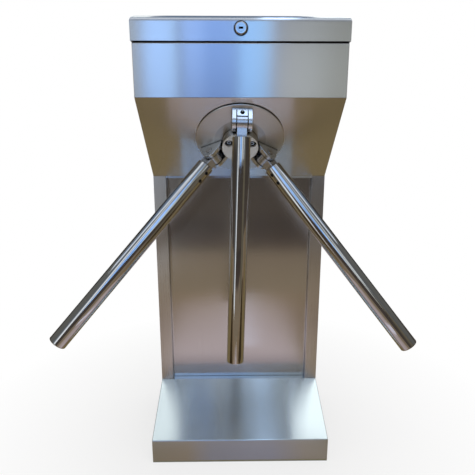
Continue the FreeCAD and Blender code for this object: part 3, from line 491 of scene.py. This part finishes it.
floor_finish, tree, out = empty_finish("floor_pale")
lit = add_node(tree, "ShaderNodeBsdfDiffuse")
lit.inputs["Color"].default_value = FLOOR_COLOUR
glow = add_node(tree, "ShaderNodeEmission")
away = length_of(tree, stretched(tree, object_coordinates(tree), (1, 1, 0)))
share = add_node(tree, "ShaderNodeMath", operation="MULTIPLY")
tree.links.new(spread(tree, away, *GLOW_SHARE, *GLOW_REACH), share.inputs[0])
tree.links.new(seen_rays(tree), share.inputs[1])
blend = add_node(tree, "ShaderNodeMixShader")
tree.links.new(share.outputs["Value"], blend.inputs["Fac"])
tree.links.new(lit.outputs["BSDF"], blend.inputs[1])
tree.links.new(glow.outputs["Emission"], blend.inputs[2])
tree.links.new(blend.outputs["Shader"], out.inputs["Surface"])
floor = mesh_object("floor", rectangle(FLOOR_WIDTH, FLOOR_WIDTH), floor_finish)
print("floor:", FLOOR_WIDTH, "m wide")

# %% [markdown]
# The surround is the world's background. It is white where something looks at it, and less than
# half as strong as a light, so that it fills the shade without washing out the shadow.

# %% Surround
FILL_STRENGTH = 0.45
world = bpy.data.worlds.new("surround")
scene.world = world
world.use_nodes = True
tree = world.node_tree
tree.nodes.clear()
out = add_node(tree, "ShaderNodeOutputWorld")
background = add_node(tree, "ShaderNodeBackground")
background.inputs["Color"].default_value = (1, 1, 1, 1)
strength = spread(tree, seen_rays(tree), FILL_STRENGTH, 1.0, 0.0, 1.0)
tree.links.new(strength, background.inputs["Strength"])
tree.links.new(background.outputs["Background"], out.inputs["Surface"])
print("fill:", FILL_STRENGTH)

# %% [markdown]
# Polished steel has no colour of its own: it shows what stands around it. A product studio uses
# cards for that, large plain boards outside the picture that only mirrors see. A warm mat in
# front of the foot gives the slanted face its brown, and a wall that is dark at waist height and
# pale above gives the tubes their dark and bright lines.

# %% Cards
STUDIO_HALF = 3.3


def card_finish(name, axis, stops):
    """A plain board that glows softly; stops give its colour along one axis in metres."""
    finish, tree, out = empty_finish(name)
    glow = add_node(tree, "ShaderNodeEmission")
    where = add_node(tree, "ShaderNodeTexCoord")
    split = add_node(tree, "ShaderNodeSeparateXYZ")
    tree.links.new(where.outputs["Object"], split.inputs["Vector"])
    first, last = stops[0][0], stops[-1][0]
    colours = add_node(tree, "ShaderNodeValToRGB")
    tree.links.new(spread(tree, split.outputs[axis], 0, 1, first, last), colours.inputs["Fac"])
    while len(colours.color_ramp.elements) < len(stops):
        colours.color_ramp.elements.new(0.5)
    for element, (place, colour) in zip(colours.color_ramp.elements, stops):
        element.position = (place - first) / (last - first)
        element.color = (*colour, 1)
    tree.links.new(colours.outputs["Color"], glow.inputs["Color"])
    tree.links.new(glow.outputs["Emission"], out.inputs["Surface"])
    return finish


def plain_finish(name, colour):
    return card_finish(name, "Y", ((-STUDIO_HALF, colour), (STUDIO_HALF, colour)))


def card(name, mesh, finish):
    board = mesh_object(name, mesh, finish)
    board.visible_camera = False
    board.visible_diffuse = False
    board.visible_shadow = False


def flat_card(name, width, length, centre, finish):
    mesh = rectangle(width, length)
    bmesh.ops.translate(mesh, vec=centre, verts=mesh.verts)
    card(name, mesh, finish)


print("card helpers ready")

# %% [markdown]
# The floor card is warm brown under the hub and dark further away. The slanted face and the
# column panel mirror it, one from above and one at a low angle, so its stripes across the lane
# become the slow change of tone down the column. A paler runner in front of the machine lights
# the lower end of the panel. The cards on the floor lie a millimetre above each other.

# %% Mat and runner
MAT_Z, RUNNER_Z, KERB_Z, LINE_Z, SIDE_Z = 0.001, 0.002, 0.003, 0.004, 0.005
MAT_STOPS = ((-3.3, (0.047, 0.040, 0.036)), (-1.95, (0.071, 0.055, 0.047)), (-1.75, (0.23, 0.18, 0.13)),
             (-1.0, (0.24, 0.19, 0.13)), (-0.9, (0.24, 0.175, 0.11)), (-0.5, (0.23, 0.165, 0.10)),
             (-0.28, (0.21, 0.16, 0.079)), (0.5, (0.21, 0.16, 0.079)),
             (0.9, (0.21, 0.19, 0.17)), (3.3, (0.16, 0.16, 0.16)))
RUNNER_STOPS = ((-0.95, (0.28, 0.21, 0.13)), (-0.72, (0.42, 0.34, 0.31)), (-0.32, (0.52, 0.44, 0.45)),
                (-0.235, (0.34, 0.29, 0.31)))
RUNNER_X, RUNNER_WIDTH = -0.02, 0.50
flat_card("mat", 2 * STUDIO_HALF, 2 * STUDIO_HALF, (0, 0, MAT_Z), card_finish("mat_warm", "Y", MAT_STOPS))
runner_middle = (RUNNER_STOPS[0][0] + RUNNER_STOPS[-1][0]) / 2
runner_length = RUNNER_STOPS[-1][0] - RUNNER_STOPS[0][0]
flat_card("runner", RUNNER_WIDTH, runner_length, (RUNNER_X, runner_middle, RUNNER_Z),
          card_finish("runner_pale", "Y", RUNNER_STOPS))
print("mat stripes:", len(MAT_STOPS), "runner:", round(runner_length, 3), "m long")

# %% [markdown]
# A narrow kerb card right before the foot colours its front. A pale line down the middle of the
# runner shows as a thin line on the end of the hanging arm, while the brushed panel smears it to a
# soft glow. Two dark lines run out to the sides like spokes from under that arm, and draw the dark
# lines along it.

# %% Kerb and lines
KERB_STOPS = ((-0.30, (0.22, 0.16, 0.09)), (-0.13, (0.28, 0.19, 0.12)), (-0.07, (0.26, 0.22, 0.24)),
              (0.08, (0.28, 0.24, 0.28)), (0.16, (0.31, 0.23, 0.18)), (0.30, (0.26, 0.20, 0.13)))
KERB_FAR, KERB_NEAR = -0.225, -0.142
LINE_COLOUR = (0.74, 0.71, 0.82)
LINE_FAR, LINE_NEAR, LINE_X, LINE_WIDTH = -0.94, -0.36, 0.04, 0.05
SIDE_ANGLES = {"side_line_left": -64, "side_line_right": 64}
SIDE_COLOUR = (0.045, 0.03, 0.015)
SIDE_NEAR, SIDE_FAR, SIDE_WIDTH = 0.50, 1.60, 0.42
ARM_Y = -0.2
flat_card("kerb", KERB_STOPS[-1][0] - KERB_STOPS[0][0], KERB_NEAR - KERB_FAR,
          (0, (KERB_FAR + KERB_NEAR) / 2, KERB_Z), card_finish("kerb", "X", KERB_STOPS))
flat_card("lane_line", LINE_WIDTH, LINE_NEAR - LINE_FAR, (LINE_X, (LINE_FAR + LINE_NEAR) / 2, LINE_Z),
          plain_finish("lane_line", LINE_COLOUR))
for name, angle in SIDE_ANGLES.items():
    spoke = rectangle(SIDE_WIDTH, SIDE_FAR - SIDE_NEAR)
    bmesh.ops.translate(spoke, vec=(0, -(SIDE_NEAR + SIDE_FAR) / 2, 0), verts=spoke.verts)
    bmesh.ops.rotate(spoke, matrix=Matrix.Rotation(math.radians(angle), 3, "Z"), verts=spoke.verts)
    bmesh.ops.translate(spoke, vec=(0, ARM_Y, SIDE_Z), verts=spoke.verts)
    card(name, spoke, plain_finish(name, SIDE_COLOUR))
print("kerb:", round(KERB_NEAR - KERB_FAR, 3), "m deep, side lines:", len(SIDE_ANGLES))

# %% [markdown]
# The ceiling is bright in front, where the rounded ears of the hub and the upper sides of the
# arms see it, and bluish over the machine. Two skylights hang under it, behind the machine, and
# give the foot its pale left and right bands. A narrow roof light hangs in front. The foot sees it
# by way of the panel, as a soft blue streak.

# %% Ceiling and skylights
CEILING_Z, ROOF_LIGHT_Z, SKYLIGHT_Z = 2.6, 2.55, 2.5
CEILING_STOPS = ((-3.3, (0.22, 0.25, 0.30)), (-1.5, (0.30, 0.34, 0.41)), (-1.3, (0.95, 1.02, 1.12)),
                 (-0.7, (0.90, 0.98, 1.08)), (-0.5, (0.17, 0.23, 0.34)), (3.3, (0.17, 0.22, 0.27)))
SKYLIGHTS = (("left", 1.5, -0.69, 0.5), ("right", 2.0, 0.82, 0.8))
SKYLIGHT_RED = 0.95
SKYLIGHT_Y, SKYLIGHT_LENGTH = 0.7, 1.6
ROOF_LIGHT = (1.7, 2.2, 3.0)
ROOF_LIGHT_X, ROOF_LIGHT_Y, ROOF_LIGHT_WIDTH, ROOF_LIGHT_LENGTH = 0.245, -0.8, 0.20, 1.1
flat_card("ceiling", 2 * STUDIO_HALF, 2 * STUDIO_HALF, (0, 0, CEILING_Z),
          card_finish("ceiling", "Y", CEILING_STOPS))
for side, level, x, width in SKYLIGHTS:
    sky = plain_finish("skylight_" + side, (SKYLIGHT_RED * level, level, level))
    flat_card("skylight_" + side, width, SKYLIGHT_LENGTH, (x, SKYLIGHT_Y, SKYLIGHT_Z), sky)
flat_card("roof_light", ROOF_LIGHT_WIDTH, ROOF_LIGHT_LENGTH, (ROOF_LIGHT_X, ROOF_LIGHT_Y, ROOF_LIGHT_Z),
          plain_finish("roof_light", ROOF_LIGHT))
print("skylights:", len(SKYLIGHTS))

# %% [markdown]
# A round wall closes the studio: dark below the waist, paler above. It is an open cylinder, made
# as a cone with two equal radii and no caps.

# %% Wall
WALL_HEIGHT = 2.6
WALL_SIDES = 64
WALL_STOPS = ((0.0, (0.079, 0.063, 0.051)), (0.95, (0.055, 0.047, 0.040)), (1.10, (0.13, 0.13, 0.12)),
              (2.6, (0.15, 0.15, 0.14)))
wall = bmesh.new()
bmesh.ops.create_cone(wall, cap_ends=False, segments=WALL_SIDES, radius1=STUDIO_HALF,
                      radius2=STUDIO_HALF, depth=WALL_HEIGHT)
bmesh.ops.translate(wall, vec=(0, 0, WALL_HEIGHT / 2), verts=wall.verts)
card("wall", wall, card_finish("wall_card", "Z", WALL_STOPS))
print("wall:", STUDIO_HALF, "m round the machine")

# %% [markdown]
# The upright front of the head mirrors the wall behind the camera, like a window seen in a satin
# mirror. Three blue panes and a grey board on each side stand there. Each has an upper half with
# a level of its own, which the lid sees more than the head does.

# %% Window boards
def upright_card(name, stops, low, high, y):
    left, right = stops[0][0], stops[-1][0]
    mesh = rectangle(right - left, high - low)
    bmesh.ops.rotate(mesh, matrix=Matrix.Rotation(math.radians(90), 3, "X"), verts=mesh.verts)
    bmesh.ops.translate(mesh, vec=((left + right) / 2, y, (low + high) / 2), verts=mesh.verts)
    card(name, mesh, card_finish(name, "X", stops))


BOARDS = {
    "board_left": ((-1.25, (0.40, 0.43, 0.46)), (-0.88, (0.49, 0.55, 0.61)), (-0.79, (0.57, 0.71, 0.92))),
    "pane_left": ((-0.78, (0.52, 0.77, 1.26)), (-0.70, (0.60, 0.95, 1.62)), (-0.52, (0.58, 0.92, 1.52)),
                  (-0.46, (0.42, 0.60, 0.90))),
    "pane_middle": ((-0.44, (0.33, 0.54, 1.04)), (-0.30, (0.31, 0.52, 1.02)), (-0.20, (0.22, 0.40, 0.86)),
                    (0.02, (0.24, 0.43, 0.90))),
    "pane_right": ((0.03, (0.41, 0.77, 1.38)), (0.12, (0.47, 0.88, 1.56)), (0.26, (0.47, 0.83, 1.38)),
                   (0.36, (0.52, 0.60, 0.75))),
    "board_right": ((0.36, (0.62, 0.69, 0.80)), (0.47, (0.74, 0.79, 0.83)), (0.64, (0.74, 0.80, 0.82)),
                    (0.91, (0.58, 0.61, 0.58)), (1.25, (0.48, 0.50, 0.48))),
}
UPPER_SHARE = {"board_left": 1.0, "pane_left": 1.12, "pane_middle": 1.7, "pane_right": 1.05,
               "board_right": 0.45}
BOARD_LOW, BOARD_MIDDLE, BOARD_HIGH, BOARD_Y = 0.85, 1.5, 2.4, -3.0
for name, stops in BOARDS.items():
    upper = [(place, [UPPER_SHARE[name] * level for level in colour]) for place, colour in stops]
    upright_card(name, stops, BOARD_LOW, BOARD_MIDDLE, BOARD_Y)
    upright_card(name + "_upper", upper, BOARD_MIDDLE, BOARD_HIGH, BOARD_Y)
print("boards:", len(BOARDS))

# %% [markdown]
# Strips stand nearer and further out, where only round things see them, and draw straight lines
# along the arms. The right one is dark below, where the hanging arm sees it. Two black flags
# behind the machine darken the outlines of the tubes against the white.

# %% Strips and flags
STRIP_LOW, STRIP_MIDDLE, STRIP_HIGH, STRIP_Y = 0.0, 0.76, 2.2, -1.2
STRIPS = (
    ("strip_left", STRIP_LOW, STRIP_HIGH,
     ((-1.5, (0.10, 0.11, 0.12)), (-0.92, (0.20, 0.22, 0.24)), (-0.84, (0.95, 1.00, 1.05)),
      (-0.60, (1.00, 1.05, 1.12)))),
    ("strip_right", STRIP_LOW, STRIP_MIDDLE,
     ((0.66, (0.10, 0.085, 0.06)), (1.0, (0.16, 0.14, 0.10)), (1.8, (0.10, 0.09, 0.07)))),
    ("strip_right_upper", STRIP_MIDDLE, STRIP_HIGH,
     ((0.60, (0.90, 0.95, 1.00)), (0.74, (0.85, 0.90, 0.95)), (0.80, (0.16, 0.17, 0.17)),
      (1.8, (0.10, 0.10, 0.10)))),
)
FLAG_LOW, FLAG_HIGH, FLAG_Y = 0.4, 2.5, 1.4
FLAGS = {
    "flag_left": ((-3.0, (0.03, 0.03, 0.03)), (-0.7, (0.04, 0.04, 0.04))),
    "flag_right": ((0.7, (0.04, 0.04, 0.04)), (3.0, (0.03, 0.03, 0.03))),
}
for name, low, high, stops in STRIPS:
    upright_card(name, stops, low, high, STRIP_Y)
for name, stops in FLAGS.items():
    upright_card(name, stops, FLAG_LOW, FLAG_HIGH, FLAG_Y)
print("strips:", len(STRIPS), "flags:", len(FLAGS))

# %% [markdown]
# One large area lamp above the machine lights what isn't a mirror: the floor, the black shade
# pieces and the matt cap. A small lamp would cast a hard shadow. It is hidden from mirrors, where it
# would show as a white square.

# %% Lamp
LAMP_PLACE = (0.2, -0.3, 2.9)
LAMP_TARGET = (0, 0, 0.4)
LAMP_SIZE = 2.4
LAMP_WATTS = 40
LAMP_COLOUR = (1.0, 0.98, 0.95)
lamp_data = bpy.data.lights.new("overhead", "AREA")
lamp_data.shape = "RECTANGLE"
lamp_data.size = LAMP_SIZE
lamp_data.size_y = LAMP_SIZE
lamp_data.energy = LAMP_WATTS
lamp_data.color = LAMP_COLOUR
overhead = bpy.data.objects.new("overhead", lamp_data)
overhead.location = LAMP_PLACE
aim = Vector(LAMP_TARGET) - Vector(LAMP_PLACE)
overhead.rotation_euler = aim.to_track_quat("-Z", "Y").to_euler()
overhead.visible_glossy = False
scene.collection.objects.link(overhead)
print("lamps:", len(bpy.data.lights))
